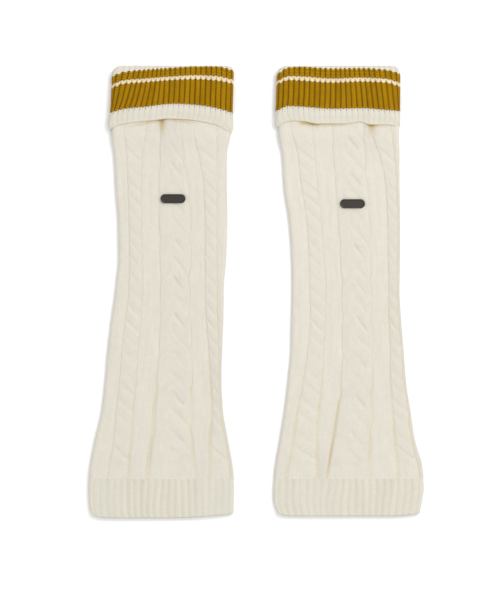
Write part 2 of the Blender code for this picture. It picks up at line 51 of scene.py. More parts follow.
MM = 0.001
LENGTH = 451.0
SPACING = 166.0
WALL, SLIT, BACK_WALL = 2.3, 1.3, 2.2
TUBE_HIGH = WALL + SLIT + BACK_WALL
CUFF_BACK, SEAM = 2.0, 0.3
RAISED = CUFF_BACK + SEAM  # the turned-down back of the cuff lifts the tube by this
LEG_TOP, LEG_END = 46.5, 411.65
SETTLE_FROM, SETTLE_TO = 67.0, 88.0
WALE, COURSE = 1.8, 1.3  # one stitch of this yarn, across and down


def named(kind, *rows):
    """A table's rows, with a name for each of their columns."""
    return [kind(*row) for row in rows]


# The leg's sides and its six purl columns, at places down it; a line pressed into it, with painted
# shade along it, or painted shade only; where its plait crosses; and how much each purl column opens
# towards the hem.
Section = namedtuple("Section", "down left g1 g2 g3 g4 g5 g6 right")
Crease = namedtuple("Crease", "across down to_across to_down wide deep shade")
Plait = namedtuple("Plait", "first period growth")
Leg = namedtuple("Leg", "name side sections purls creases plait")
LEFT_LEG = Leg(
    name="left", side=-1,
    sections=named(
        Section,
        (46.5, -61, -49.5, -25, -12.5, 5, 19, 43.5, 58),
        (70.5, -60.7, -48.5, -27.5, -13, 8, 21, 44, 56.5),
        (88.5, -58.7, -47, -30.5, -13.5, 10.5, 25.5, 44, 53.5),
        (118.5, -57.2, -45.5, -31.5, -14.5, 15.5, 30, 44, 53.5),
        (155.5, -54.5, -44.5, -31.5, -14, 17.5, 31.5, 44, 54),
        (188.5, -54, -44, -31, -13.5, 17.5, 31.5, 44, 53),
        (221.5, -57, -44.5, -30.5, -13, 16.5, 31.5, 44, 50.5),
        (253.5, -61.2, -48, -32, -13, 17.5, 33, 44.5, 50),
        (283.5, -64.8, -51.5, -34.5, -14.5, 18.5, 35, 45.5, 48.7),
        (313.5, -67.5, -54, -37, -16.5, 19, 37, 46, 48),
        (343.5, -71, -57, -39.5, -19, 18.5, 38, 47, 49.5),
        (373.5, -77.8, -60, -42, -22, 19, 36.5, 52, 54.5),
        (398.5, -82.5, -64, -44.5, -25, 21, 36, 55.5, 59),
        (411.5, -84, -65.5, -45, -26, 22.5, 35.5, 57, 60.5),
    ),
    purls=(0.2, 0.6, 1.4, 0.7, 0.9, 0.4),
    creases=named(
        Crease,
        # A dimple under the cuff and its tail, pressed in and darkened with painted shade.
        (-10.5, 44, -12.5, 82, 3.6, 1.2, 0.8),
        (-11, 44, -12, 90, 1.8, 0.3, 0.3),
        # Painted shade only, just under the cuff's lower edge.
        (-16, 54.8, -66, 65.5, 1.5, 0, 0.5),
        (0, 54, 44, 59.5, 1.5, 0, 0.5),
        (-19, 330, -26, 411.5, 3, 0.4, 0),
        (-40, 388, -52, 411.5, 6, 0.4, 0),
        (30, 392, 27, 411.5, 4, 0.4, 0),
    ),
    plait=Plait(65.5, 38, 0),
)
RIGHT_LEG = Leg(
    name="right", side=1,
    sections=named(
        Section,
        (46.5, -61, -51.5, -27.5, -8.5, 22.5, 29.5, 48.5, 59.5),
        (70.5, -60.2, -46.5, -26.5, -7.5, 24.5, 33, 52.5, 59.2),
        (88.5, -57, -42, -24.5, -6.5, 26, 39.5, 55, 60),
        (118.5, -55.2, -38.5, -21.5, -4, 28, 45.5, 57, 60),
        (155.5, -49.8, -33, -18, -1.5, 30.5, 47.5, 58, 60.5),
        (188.5, -47.5, -31, -15.5, 0.5, 31, 48, 58, 60.5),
        (221.5, -46.8, -30, -13.5, 2, 32, 48.5, 57.5, 60),
        (253.5, -47.5, -29.5, -14, 2.5, 33, 49, 59, 61.5),
        (283.5, -48.2, -32, -15.5, 2.5, 33.5, 50, 61.5, 64),
        (313.5, -51, -36.5, -17.5, 1.5, 33, 50.5, 64, 66.3),
        (343.5, -54.5, -42, -20.5, -1.5, 32.5, 52.5, 68, 70.7),
        (373.5, -59.2, -46.5, -22.5, -6.5, 31, 55, 72, 75.3),
        (398.5, -63.5, -51, -22, -10.5, 30, 57.5, 78, 82.5),
        (411.5, -65, -53, -21.5, -12.5, 29.5, 58.5, 80, 84),
    ),
    purls=(0.7, 1.0, 0.4, 0.8, 0.7, 0.4),
    creases=named(
        Crease,
        # Dimples under the cuff, pressed in and darkened with painted shade.
        (-34, 44, -16, 74, 4.5, 0.9, 0.35),
        (29.5, 44, 36, 88, 3.4, 1.2, 0.95),
        # Painted shade just under the cuff's lower edge, the first line also pressed in a little.
        (-36, 57, 4, 60.6, 2.1, 0.3, 0.9),
        (-10, 58.8, 30, 58.8, 1.5, 0, 0.5),
        (30, 59.5, 66, 60.5, 1.5, 0, 0.5),
        (1, 326, -12, 411.5, 2.8, 0.6, 0),
        # A fold line, pressed in and darkened with painted shade.
        (-1.4, 340, -12.8, 411.5, 1, 0.5, 0.42),
        (-48, 70, -42, 120, 6, 0.4, 0),
        (40, 385, 46, 411.5, 5, 0.4, 0),
    ),
    plait=Plait(77.8, 34.8, 0.26),
)


def smooth(at, xs, ys):
    """A curve through a table's rows that never swings past them."""
    xs, ys = np.asarray(xs, float), np.asarray(ys, float)
    step = np.diff(xs)
    rise = np.diff(ys) / step
    product = rise[:-1] * rise[1:]
    inner = np.where(product > 0, 2 * product / np.where(product > 0, rise[:-1] + rise[1:], 1), 0)
    slope = np.concatenate([rise[:1], inner, rise[-1:]])
    at = np.clip(at, xs[0], xs[-1])
    i = np.clip(np.searchsorted(xs, at) - 1, 0, len(xs) - 2)
    t = (at - xs[i]) / step[i]
    bend = step[i] * (slope[i] * t * (1 - t) ** 2 - slope[i + 1] * t * t * (1 - t))
    return ys[i] + (ys[i + 1] - ys[i]) * t * t * (3 - 2 * t) + bend


def table(rows, x, y, at):
    """Column y of a table at these values of its column x."""
    return smooth(at, [getattr(row, x) for row in rows], [getattr(row, y) for row in rows])


def sides(rows, down):
    """Where a piece's left and right side lie, this far down."""
    return [table(rows, "down", side, down) for side in ("left", "right")]


def ease(t):
    """0 to 1 with no sudden start or stop."""
    t = np.clip(t, 0.0, 1.0)
    return t * t * (3 - 2 * t)


def over_tube(layer, run, back):
    """x, z and the outward direction this far over a flattened tube, from its left side."""
    left, right, low, high = layer
    radius = (high - low) / 2
    quarter = math.pi * radius / 2
    whole = 2 * quarter + right - left - 2 * radius
    from_end = np.minimum(run, whole - run)
    turn = np.clip(from_end / radius, 0.0, math.pi / 2)
    inward = radius * (1 - np.cos(turn)) + np.maximum(from_end - quarter, 0.0)
    on_left = run < whole / 2
    x = np.where(on_left, left + inward, right - inward)
    face = np.where(back, -1.0, 1.0)
    z = (low + high) / 2 + face * radius * np.sin(turn)
    return x, z, np.where(on_left, -1.0, 1.0) * np.cos(turn), face * np.sin(turn)


def tube_run(layer, x):
    """How far over the tube, from its left side, each place across lies."""
    left, right, low, high = layer
    radius = (high - low) / 2
    quarter = math.pi * radius / 2
    side = np.minimum(x - left, right - x)
    turned = radius * np.arccos(1 - np.clip(side, 0, radius) / radius)
    run = np.where(side < radius, turned, side - radius + quarter)
    return np.where(x - left < right - x, run, tube_whole(layer) - run)


def tube_whole(layer):
    left, right, low, high = layer
    return (math.pi - 2) * (high - low) / 2 + right - left


# Where one strand of a cable lies over another: a line from one place to another, as shares of the
# cable's width and millimetres down from the middle of a crossing, and how deep its crease is.
Overlap = namedtuple("Overlap", "share down to_share to_down deep")
Cable = namedtuple("Cable", "wide middles overlaps seed")
ROPE_WIDE, ROPE_FIRST, ROPE_PITCH, ROPE_GROWTH = 15.0, 90.0, 15.0, 0.033
ROPE_CROSSINGS, ROPE_UNDER = 26, 4
ROPE_OVERLAPS = named(Overlap, (-0.04, -10.5, 1.04, 10.5, 0.5))
PLAIT_WIDE, PLAIT_CROSSINGS, PLAIT_UNDER = 31.0, 13, 2
PLAIT_OVERLAPS = named(
    Overlap,
    (0.47, -9.5, 0.80, 9, 0.8),
    (0.40, 7, 0.98, 33, 0.45),
    (0.41, -5, 0.38, 8, 0.3),
    (0.32, -13, -0.02, 1, 0.28),
    (0.55, -26, 0.66, -17, 0.35),
)
# An overlap bends between its two ends, where it fades out, and is never quite like the next one.
STRAIGHT, BENT, FADED, ASTRAY, UNEVEN = 0.45, 0.55, 0.25, 1.4, 0.3
# A crease's depth and width, how much painted shade darkens it, and its shoulder's depth and width.
CREASE_DEEP, CREASE_WIDE, CREASE_PAINTED_SHADE, SHOULDER_DEEP, SHOULDER_WIDE = 0.75, 1.3, 0.34, 0.5, 3.8
STRAND_REACH = 5.0  # stitches further than this from every overlap run straight down
PLAIN_HIGH, CABLE_HIGH, CABLE_CROWN, CROWN_FLAT, JOIN_HIGH = 0.6, 0.9, 0.4, 2.5, 0.35
JOIN_OVER = 6.0  # how far above the hem the leg's relief starts to level out
# Purl columns take most of the relief, are wider towards the hem, and the cloth rolls into them.
PURL_DEEP, PURL_HALF, PURL_WIDER, PURL_FROM, PURL_OVER = 0.6, 0.5, 1.7, 270.0, 120.0
ROLL_DEEP, ROLL_WIDE = 0.22, 1.5
PLAIT_PULL, PLAIT_PULL_LONG, ROPE_PULL, ROPE_PULL_LONG = 1.7, 6.0, 0.5, 4.0
BACK_RELIEF, SAG = 0.3, 0.3  # the share of relief left on the pressed back, and how uneven it lies
CABLE_FROM, CABLE_FULL, CABLE_LEAVES, CABLE_END = 56.0, 78.0, 390.0, 400.0
COVERED, UNCOVERED = 49.0, 62.0  # how far down the cuff presses the leg flat
TO_HEM = 405.0  # a crease that ends below this runs into the hem and doesn't fade there
# The columns of points in each zone of the front and, pressed flat on the floor, of the back.
ZONES = ("side", "rope", "plain", "plait", "plain", "rope", "side")
FRONT_COLUMNS = {"side": 12, "rope": 26, "plain": 18, "plait": 52}
BACK_COLUMNS = {"side": 4, "rope": 10, "plain": 6, "plait": 20}
GROOVES = ("left", "g1", "g2", "g3", "g4", "g5", "g6", "right")
PLAIN_WALES, SIDE_WALES = 8, 6
ROW_STEP, LAST_ROW = 1.02, 0.03  # between rows of points, and between the last two
INNER_ROWS, INNER_WALE = 34, 1.1  # of the leg's hidden inner face


def leg_cable(kind, leg):
    """One of the leg's cables; a few of its crossings lie under the cuff, above the first seen."""
    if kind == "rope":
        k = np.arange(ROPE_CROSSINGS) - ROPE_UNDER
        return Cable(ROPE_WIDE, ROPE_FIRST + ROPE_PITCH * k + ROPE_GROWTH * k * k, ROPE_OVERLAPS, 5)
    k = np.arange(PLAIT_CROSSINGS) - PLAIT_UNDER
    middles = leg.plait.first + leg.plait.period * k + leg.plait.growth * k * k
    return Cable(PLAIT_WIDE, middles, PLAIT_OVERLAPS, 8 + leg.side)


def overlap_lines(cable, share, down):
    """How far across each place lies from each overlap, the overlap's slope, and its strength."""
    start = np.array([[m + o.down, m + o.to_down] for m in cable.middles for o in cable.overlaps])
    ends = np.array([[o.share, o.to_share, o.deep] for _ in cable.middles for o in cable.overlaps])
    uneven = np.random.default_rng(cable.seed).uniform(-1, 1, (2, len(start)))
    start = start + ASTRAY * uneven[0][:, None]
    long = start[:, 1] - start[:, 0]
    t = np.clip((down[:, None] - start[:, 0]) / long, 0, 1)
    moved = (ends[:, 1] - ends[:, 0]) * cable.wide
    centre = ends[:, 0] * cable.wide + moved * (STRAIGHT * t + BENT * ease(t))
    slope = moved / long * (STRAIGHT + BENT * 6 * t * (1 - t))
    off = share[None, :, None] * cable.wide - centre[:, None]
    shown = ends[:, 2] * (1 + UNEVEN * uneven[1]) * ease(t / FADED) * ease((1 - t) / FADED)
    shown = shown * (1 + UNEVEN * np.sin(4.5 * t + 9 * uneven[0]))
    return off / np.hypot(1, slope)[:, None], slope, shown


def cable_relief(cable, share, down):
    """A cable's height, and how far each place lies in a crease, from 0 to 1."""
    off, _, shown = overlap_lines(cable, share, down)
    shown = shown[:, None]
    crease = (shown * np.exp(-((off / CREASE_WIDE) ** 2))).max(-1)
    shoulder = (shown * np.exp(-((off / SHOULDER_WIDE) ** 2))).max(-1)
    crown = CABLE_CROWN * (1 - np.abs(2 * share - 1) ** CROWN_FLAT)
    return CABLE_HIGH + crown - CREASE_DEEP * crease - SHOULDER_DEEP * shoulder, crease


def corners_of(share, down):
    """The places across and down at each of the four corners of all the quads of a grid."""
    for row, place in ((0, 0), (1, 0), (1, 1), (0, 1)):
        yield share[place : len(share) - 1 + place], down[row : len(down) - 1 + row]


def cable_stitches(cable, share, down):
    """The stitch, across and down, at each quad's four corners; a quad keeps to one strand."""
    middle_share, middle_down = (share[1:] + share[:-1]) / 2, (down[1:] + down[:-1]) / 2
    off, _, shown = overlap_lines(cable, middle_share, middle_down)
    away = np.where(shown[:, None] > 0.02, np.abs(off), math.inf)
    best, plain = away.argmin(-1)[..., None], away.min(-1) > STRAND_REACH
    plain = plain | ((middle_down < CABLE_FROM) | (middle_down > CABLE_LEAVES))[:, None]
    corners = []
    for at_share, at_down in corners_of(share, down):
        off, slope, _ = overlap_lines(cable, at_share, at_down)
        slope = np.take_along_axis(np.broadcast_to(slope[:, None], off.shape), best, -1)[..., 0]
        off = np.take_along_axis(off, best, -1)[..., 0]
        wale = np.where(plain, at_share * cable.wide, off) / WALE
        along = at_down[:, None] + np.where(plain, 0.0, off * slope / np.hypot(1, slope))
        corners.append(np.stack([wale, along / COURSE], -1))
    return np.stack(corners, axis=2)


def plain_stitches(wales, share, down):
    """The same for a zone of so many straight wales."""
    corners = [
        np.stack(np.meshgrid(at_share * wales, at_down / COURSE), -1)
        for at_share, at_down in corners_of(share, down)
    ]
    return np.stack(corners, axis=2)


def groove_lines(leg, down):
    """The purl columns' lines, pulled in a little wherever strands cross beside them."""
    lines = [table(leg.sections, "down", name, down) for name in GROOVES]
    plait = leg_cable("plait", leg).middles
    above = down[:, None] - plait + PLAIT_PULL_LONG
    crossed = PLAIT_PULL * np.exp(-((above / PLAIT_PULL_LONG) ** 2)).max(axis=1)
    rope = leg_cable("rope", leg).middles
    roped = ROPE_PULL * np.exp(-(((down[:, None] - rope) / ROPE_PULL_LONG) ** 2)).max(axis=1)
    fading = ease((down - CABLE_FROM) / 20) * (1 - ease((down - CABLE_LEAVES) / 10))
    pulls = (0.0, roped, -roped, 0.6 * crossed, -crossed, roped, -roped, 0.0)
    return [line + pull * fading for line, pull in zip(lines, pulls)]


def leg_layer(leg, down):
    """The left, right, underside and top of the flattened leg, this far down."""
    low = RAISED * (1 - ease((down - SETTLE_FROM) / (SETTLE_TO - SETTLE_FROM)))
    return *sides(leg.sections, down), low, low + TUBE_HIGH


def creased(leg, x, down):
    """How deep the leg's creases press its face in at each place, and how dark they are.

    A crease starts sharply and dies away over its last half, unless it runs on into the hem.
    """
    deep = np.zeros(np.broadcast(x, down).shape)
    shade = deep.copy()
    for c in leg.creases:
        ax, ay = c.to_across - c.across, c.to_down - c.down
        along = ((x - c.across) * ax + (down - c.down) * ay) / (ax * ax + ay * ay)
        off = np.hypot(x - c.across - along * ax, down - c.down - along * ay)
        ends = ease(along / 0.25) * ease((1 - along) / 0.6 + (c.to_down > TO_HEM))
        deep += c.deep * np.exp(-((off / c.wide) ** 2)) * ends
        faded = ease((along + 0.2) / 0.2) * ease((0.72 - along) / 0.55 + (c.to_down > TO_HEM))
        shade += c.shade * np.exp(-((off / c.wide) ** 2)) * faded
    return deep, shade


def rolling(x, down, seed):
    """The soft unevenness of cloth that was laid down by hand, from -1 to 1."""
    a = np.sin(x / 13.0 + down / 41.0 + seed) * np.sin(down / 29.0 - x / 37.0 + 2.1 * seed)
    b = np.sin(x / 7.3 - down / 17.0 + 1.3 * seed) * np.sin(down / 11.0 + x / 23.0 + seed)
    return 0.65 * a + 0.35 * b


def leg_half(leg, down, back):
    """One face of the leg, zone by zone: points, purl share, shade and the stitches of each quad."""
    layer = leg_layer(leg, down)
    column = [part[:, None] for part in layer]
    runs = [tube_run(layer, line) for line in groove_lines(leg, down)]
    runs[0], runs[-1] = 0.0 * down, tube_whole(layer)
    rows = down[:, None]
    knitted_in = ease((rows - CABLE_FROM) / (CABLE_FULL - CABLE_FROM))
    knitted_in = knitted_in * (1 - ease((rows - CABLE_LEAVES) / (CABLE_END - CABLE_LEAVES)))
    to_join = ease((LEG_END - rows) / JOIN_OVER)
    free = ease((rows - COVERED) / (UNCOVERED - COVERED))
    parts, stitches = [], []
    for zone, kind in enumerate(ZONES):
        count = (BACK_COLUMNS if back else FRONT_COLUMNS)[kind]
        even = np.linspace(0, 1, count + 1)
        share = even - 0.08 * np.sin(2 * math.pi * even)  # closer together beside the grooves
        wide = (runs[zone + 1] - runs[zone])[:, None]
        run = runs[zone][:, None] + wide * share
        x, z, out_x, out_z = over_tube(column, run, back)
        # How far into each purl column a place lies, from the groove on either side of its zone.
        purl = np.zeros(run.shape)
        for groove, away in ((zone, wide * share), (zone + 1, wide * (1 - share))):
            if 0 < groove < len(GROOVES) - 1:
                wider = PURL_WIDER * leg.purls[groove - 1]
                half = PURL_HALF + wider * ease((rows - PURL_FROM) / PURL_OVER)
                purl = np.maximum(purl, np.exp(-((away / half) ** 4)))
        if kind in ("rope", "plait"):
            cable = leg_cable(kind, leg)
            high, crease = cable_relief(cable, share, down)
            relief = PLAIN_HIGH + (high - PLAIN_HIGH) * knitted_in
            # Painted shade along the cable's creases.
            tint = CREASE_PAINTED_SHADE * crease * knitted_in
            stitches.append(cable_stitches(cable, share, down))
        else:
            wales = PLAIN_WALES if kind == "plain" else SIDE_WALES
            relief, tint = np.full(run.shape, PLAIN_HIGH), 0.0
            stitches.append(plain_stitches(wales, share, down))
        # Cloth rolls over into a purl column, and is level again where the hem begins. Its relief
        # dies away round the sides, and its purl bumps, with the shade painted in them, show more in
        # some places than in others.
        beside = np.minimum(share * wide, (1 - share) * wide)
        relief = relief - ROLL_DEEP * np.exp(-beside / ROLL_WIDE)
        relief = relief * (1 - PURL_DEEP * purl)
        relief = JOIN_HIGH + (relief - JOIN_HIGH) * to_join
        pressed, shade = creased(leg, x, rows)
        pressed = pressed * to_join
        if back:
            relief = BACK_RELIEF * (relief - CABLE_HIGH - CABLE_CROWN)
        else:
            relief = (relief + SAG * rolling(x, rows, leg.side) * to_join) * free - pressed
            relief = relief * np.maximum(out_z, 0) ** 0.5
        # The creases' painted shade joins the purl share, which darkens the colour.
        purl = np.maximum(purl * (0.75 + 0.25 * np.sin(rows / 9.0 + zone)), tint)
        parts.append((x + out_x * relief, z + out_z * relief, purl, shade * (not back)))
    keep = [slice(0, -1)] * (len(ZONES) - 1) + [slice(None)]
    points = [
        np.concatenate([part[kind][:, kept] for part, kept in zip(parts, keep)], axis=1)
        for kind in range(4)
    ]
    return points, np.concatenate(stitches, axis=1)


def knit_mesh(name, side, across, down, high, quads, stitches, purl, shade, flat=0):
    """A mesh of quads from grids of points, with its stitches as a UV map, and its purl share and
    shade. Its last few quads, as many as flat says, are a rim that isn't shaded smooth."""
    mesh = bpy.data.meshes.new(name)
    points = np.stack([across + side * SPACING / 2, LENGTH / 2 - down, np.maximum(high, 0)], -1) * MM
    mesh.vertices.add(len(points))
    mesh.vertices.foreach_set("co", points.ravel())
    mesh.loops.add(quads.size)
    mesh.loops.foreach_set("vertex_index", quads.ravel().astype(np.int32))
    mesh.polygons.add(len(quads))
    mesh.polygons.foreach_set("loop_start", np.arange(0, quads.size, 4, dtype=np.int32))
    mesh.polygons.foreach_set("use_smooth", np.arange(len(quads)) < len(quads) - flat)
    mesh.update(calc_edges=True)
    layer = mesh.uv_layers.new(name="stitches")
    layer.data.foreach_set("uv", stitches.ravel().astype(np.float32))
    # Both darken the colour as painted shade: the purl share in purl columns, grooves and creases, and
    # the shade in folds and under edges.
    for kind, values in (("purl", purl), ("shade", shade)):
        share = mesh.attributes.new(kind, "FLOAT", "POINT")
        share.data.foreach_set("value", values.astype(np.float32))
    mesh.validate()
    obj = bpy.data.objects.new(name, mesh)
    bpy.context.scene.collection.objects.link(obj)
    return obj


def ring_quads(rows, columns, first=0, closed=False):
    """Quads of a grid whose columns close on themselves, and its rows too if closed."""
    r, c = np.meshgrid(np.arange(rows if closed else rows - 1), np.arange(columns), indexing="ij")
    below, beside = (r + 1) % rows, (c + 1) % columns
    quads = [r * columns + c, below * columns + c, below * columns + beside, r * columns + beside]
    return np.stack(quads, -1) + first


def node(tree, kind, inputs, out=0, **settings):
    """Adds a node. Its inputs, by name or number, are values or links, and it gives one output."""
    made = tree.nodes.new(kind)
    for name, value in settings.items():
        setattr(made, name, value)
    for name, value in inputs.items():
        if isinstance(value, bpy.types.NodeSocket):
            tree.links.new(value, made.inputs[name])
        else:
            made.inputs[name].default_value = value
    return made.outputs[out]


def linear(hexed):
    """An sRGB hex colour as linear light."""
    parts = [int(hexed[i : i + 2], 16) / 255 for i in (1, 3, 5)]
    return tuple(p / 12.92 if p < 0.04045 else ((p + 0.055) / 1.055) ** 2.4 for p in parts) + (1.0,)


# The colours of a yarn where it faces up; between its stitches, where it is purled, and at the
# bottom of a deep fold, each darker as painted shade, a fold the darkest, as light only reaches
# it there from more of the same yarn; and how unevenly it took its dye.
Yarn = namedtuple("Yarn", "face gap purl fold uneven")
CREAM = Yarn("#D9D5CA", "#CDC8BA", "#C5BBA1", "#B8A26A", 0.1)
MATH, MIX = "ShaderNodeMath", "ShaderNodeMix"
STITCH_RISE = 1.0  # a stitch's arms rise this share of a course from its middle to its sides
# To the metre: stray fibres 1 mm long, drawn that coarse to show at all, and patches of 4.5 mm.
FIBRES, PATCHES = 1000.0, 220.0
STREAKS = (0.55, 0.035, 1.0)  # to the wale and to the course: yarn that varies along its length


def knitted(name, yarn, bands=(), relief=0.28):
    """Acrylic and wool yarn, knitted: soft and matt, in V-shaped stitches that show as fine lines
    down the cloth, and in dots where it is purled.

    Bands are the first and last course of another yarn, and that yarn. Relief is how high the
    stitches stand, in millimetres.
    """
    material = bpy.data.materials.new(name)
    material.use_nodes = True
    tree = material.node_tree
    uv = node(tree, "ShaderNodeUVMap", {}, uv_map="stitches")
    wale = node(tree, "ShaderNodeSeparateXYZ", {0: uv}, out=0)
    course = node(tree, "ShaderNodeSeparateXYZ", {0: uv}, out=1)
    # Two arms rise from the middle of each wale, and each is highest along its own middle.
    swing = node(tree, MATH, {0: wale, 1: 0.5}, operation="PINGPONG")
    rising = node(tree, MATH, {0: swing, 1: 2 * STITCH_RISE, 2: course}, operation="MULTIPLY_ADD")
    along = node(tree, MATH, {0: rising, 1: 0.5}, operation="PINGPONG")
    strand = node(tree, MATH, {0: along, 1: 0.8}, operation="POWER")
    turn = node(tree, MATH, {0: swing, 1: 1.5 * math.pi, 2: 0.25 * math.pi}, operation="MULTIPLY_ADD")
    arm = node(tree, MATH, {0: turn}, operation="SINE")
    arm = node(tree, MATH, {0: arm, 1: 1.2, 2: 0.45}, operation="MULTIPLY_ADD")
    knit = node(tree, MATH, {0: strand, 1: arm}, operation="MULTIPLY", use_clamp=True)
    # Purl bumps, one to two wales and two courses.
    dots = node(tree, MATH, {0: course, 1: 1.0}, operation="PINGPONG")
    beside = node(tree, MATH, {0: wale, 1: 1.0}, operation="PINGPONG")
    dots = node(tree, MATH, {0: dots, 1: beside}, operation="SUBTRACT")
    dots = node(tree, MATH, {0: dots}, operation="ABSOLUTE")
    purl = node(tree, "ShaderNodeAttribute", {}, out="Fac", attribute_name="purl")
    shade = node(tree, "ShaderNodeAttribute", {}, out="Fac", attribute_name="shade")
    where = node(tree, "ShaderNodeTexCoord", {}, out="Object")
    fibre = node(tree, "ShaderNodeTexNoise", {"Vector": where, "Scale": FIBRES, "Detail": 3.0})
    cloud = node(tree, "ShaderNodeTexNoise", {"Vector": where, "Scale": PATCHES, "Detail": 4.0})
    lengthwise = node(tree, "ShaderNodeMapping", {"Vector": uv, "Scale": STREAKS})
    streak = node(tree, "ShaderNodeTexNoise", {"Vector": lengthwise, "Scale": 1.0, "Detail": 2.0})
    colours, uneven = [linear(hexed) for hexed in yarn[:4]], yarn.uneven
    for first, last, band in bands:
        middle, half = (first + last) / 2, (last - first) / 2
        inside = node(tree, MATH, {0: rising, 1: middle, 2: half}, operation="COMPARE")
        colours = [
            node(tree, MIX, {0: inside, 6: ours, 7: linear(theirs)}, out=2, data_type="RGBA")
            for ours, theirs in zip(colours, band[:4])
        ]
        uneven = node(tree, MIX, {0: inside, 2: uneven, 3: band.uneven}, data_type="FLOAT")
    # Painted shade: a deeper, warmer colour between stitches, between purl bumps, in purl columns and
    # creases, and in folds.
    face, shaded_gap, purled, painted_fold_shade = colours
    colour = node(tree, MIX, {0: knit, 6: shaded_gap, 7: face}, out=2, data_type="RGBA")
    between = node(tree, MATH, {0: dots, 1: -1.8, 2: 1.3}, operation="MULTIPLY_ADD")
    between = node(tree, MATH, {0: cloud, 1: 1.2, 2: between}, operation="MULTIPLY_ADD")
    between = node(tree, MATH, {0: between, 1: 0.6}, operation="SUBTRACT")
    purl_shade = node(tree, MATH, {0: purl, 1: between}, operation="MULTIPLY", use_clamp=True)
    colour = node(tree, MIX, {0: purl_shade, 6: colour, 7: purled}, out=2, data_type="RGBA")
    colour = node(tree, MIX, {0: shade, 6: colour, 7: painted_fold_shade}, out=2, data_type="RGBA")
    # The dye's unevenness is the sum of fibres, patches and streaks, about its middle.
    patchy = node(tree, MATH, {0: fibre, 1: cloud}, operation="ADD")
    patchy = node(tree, MATH, {0: streak, 1: 1.3, 2: patchy}, operation="MULTIPLY_ADD")
    patchy = node(tree, MATH, {0: patchy, 1: 1.65}, operation="SUBTRACT")
    tone = node(tree, MATH, {0: patchy, 1: uneven, 2: 1.0}, operation="MULTIPLY_ADD")
    colour = node(tree, "ShaderNodeVectorMath", {0: colour, "Scale": tone}, operation="SCALE")
    stitch = node(tree, MIX, {0: purl, 2: knit, 3: dots}, data_type="FLOAT")
    height = node(tree, MATH, {0: fibre, 1: 0.4, 2: stitch}, operation="MULTIPLY_ADD")
    bump = node(tree, "ShaderNodeBump", {"Height": height, "Strength": 0.8, "Distance": relief * MM})
    shader = tree.nodes["Principled BSDF"]
    tree.links.new(colour, shader.inputs["Base Color"])
    tree.links.new(bump, shader.inputs["Normal"])
    for socket, value in (
        ("Roughness", 0.95), ("Specular IOR Level", 0.08), ("Sheen Weight", 0.03),
        ("Sheen Roughness", 0.6),
    ):
        shader.inputs[socket].default_value = value
    return material


cream_knit = knitted("cream acrylic and wool yarn, cable-knitted", CREAM)


def make_leg(leg):
    """Outer and inner face of the tube's wall, joined at its two rims."""
    down = np.linspace(LEG_TOP, LEG_END - LAST_ROW, int((LEG_END - LEG_TOP) / ROW_STEP) + 1)
    down = np.append(down, LEG_END)
    front, front_uv = leg_half(leg, down, back=False)
    back, back_uv = leg_half(leg, down, back=True)
    x, z, purl, shade = (np.concatenate([f, b[:, -2:0:-1]], axis=1) for f, b in zip(front, back))
    back_uv = back_uv[:, ::-1][:, :, [3, 2, 1, 0]]
    outer_uv = np.concatenate([front_uv, back_uv], axis=1)
    rows, columns = x.shape
    across_front = front[0].shape[1]
    # The plain inside of the wall, with the same columns and fewer rows.
    inner_down = down[np.linspace(0, rows - 1, INNER_ROWS).astype(int)]
    left, right, low, high = leg_layer(leg, inner_down)
    inside = [p[:, None] for p in (left + WALL, right - WALL, low + BACK_WALL, high - WALL)]
    back_share = np.linspace(1, 0, columns - across_front + 2)[1:-1]
    share = np.concatenate([np.linspace(0, 1, across_front), back_share])
    is_back = np.arange(columns) >= across_front
    inner_x, inner_z, _, _ = over_tube(inside, share[None, :] * tube_whole(inside), is_back[None, :])
    outer_quads = ring_quads(rows, columns)
    inner_quads = ring_quads(len(inner_down), columns, rows * columns)[..., ::-1]
    c = np.arange(columns)
    beside, inner_first = (c + 1) % columns, rows * columns
    last_outer, last_inner = (rows - 1) * columns, inner_first + (len(inner_down) - 1) * columns
    top = np.stack([c, beside, inner_first + beside, inner_first + c], -1)
    bottom = np.stack([last_outer + beside, last_outer + c, last_inner + c, last_inner + beside], -1)
    quads = np.concatenate([outer_quads.reshape(-1, 4), inner_quads.reshape(-1, 4), top, bottom])
    inner_uv = plain_stitches(INNER_WALE, np.arange(columns + 1), inner_down)[:, :, ::-1]
    rim_uv = np.zeros((2 * columns, 4, 2))
    piece = knit_mesh(
        f"{leg.name}_cable_leg", leg.side,
        np.concatenate([x.ravel(), inner_x.ravel()]),
        np.concatenate([np.repeat(down, columns), np.repeat(inner_down, columns)]),
        np.concatenate([z.ravel(), inner_z.ravel()]),
        quads, np.concatenate([uv.reshape(-1, 4, 2) for uv in (outer_uv, inner_uv, rim_uv)]),
        np.concatenate([purl.ravel(), np.ones(inner_x.size)]),
        np.concatenate([shade.ravel(), np.zeros(inner_x.size)]),
        flat=2 * columns,
    )
    piece.data.materials.append(cream_knit)
    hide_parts(f"{leg.name}_leg")
    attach(piece, "root")


for leg in (LEFT_LEG, RIGHT_LEG):
    make_leg(leg)

# ---- The turned-down cuff
# The top of the tube, knitted in a firm rib and turned down over itself. Two mustard bands are
# knitted into the cream; the colour steps with the stitches, and runs lower in the grooves.

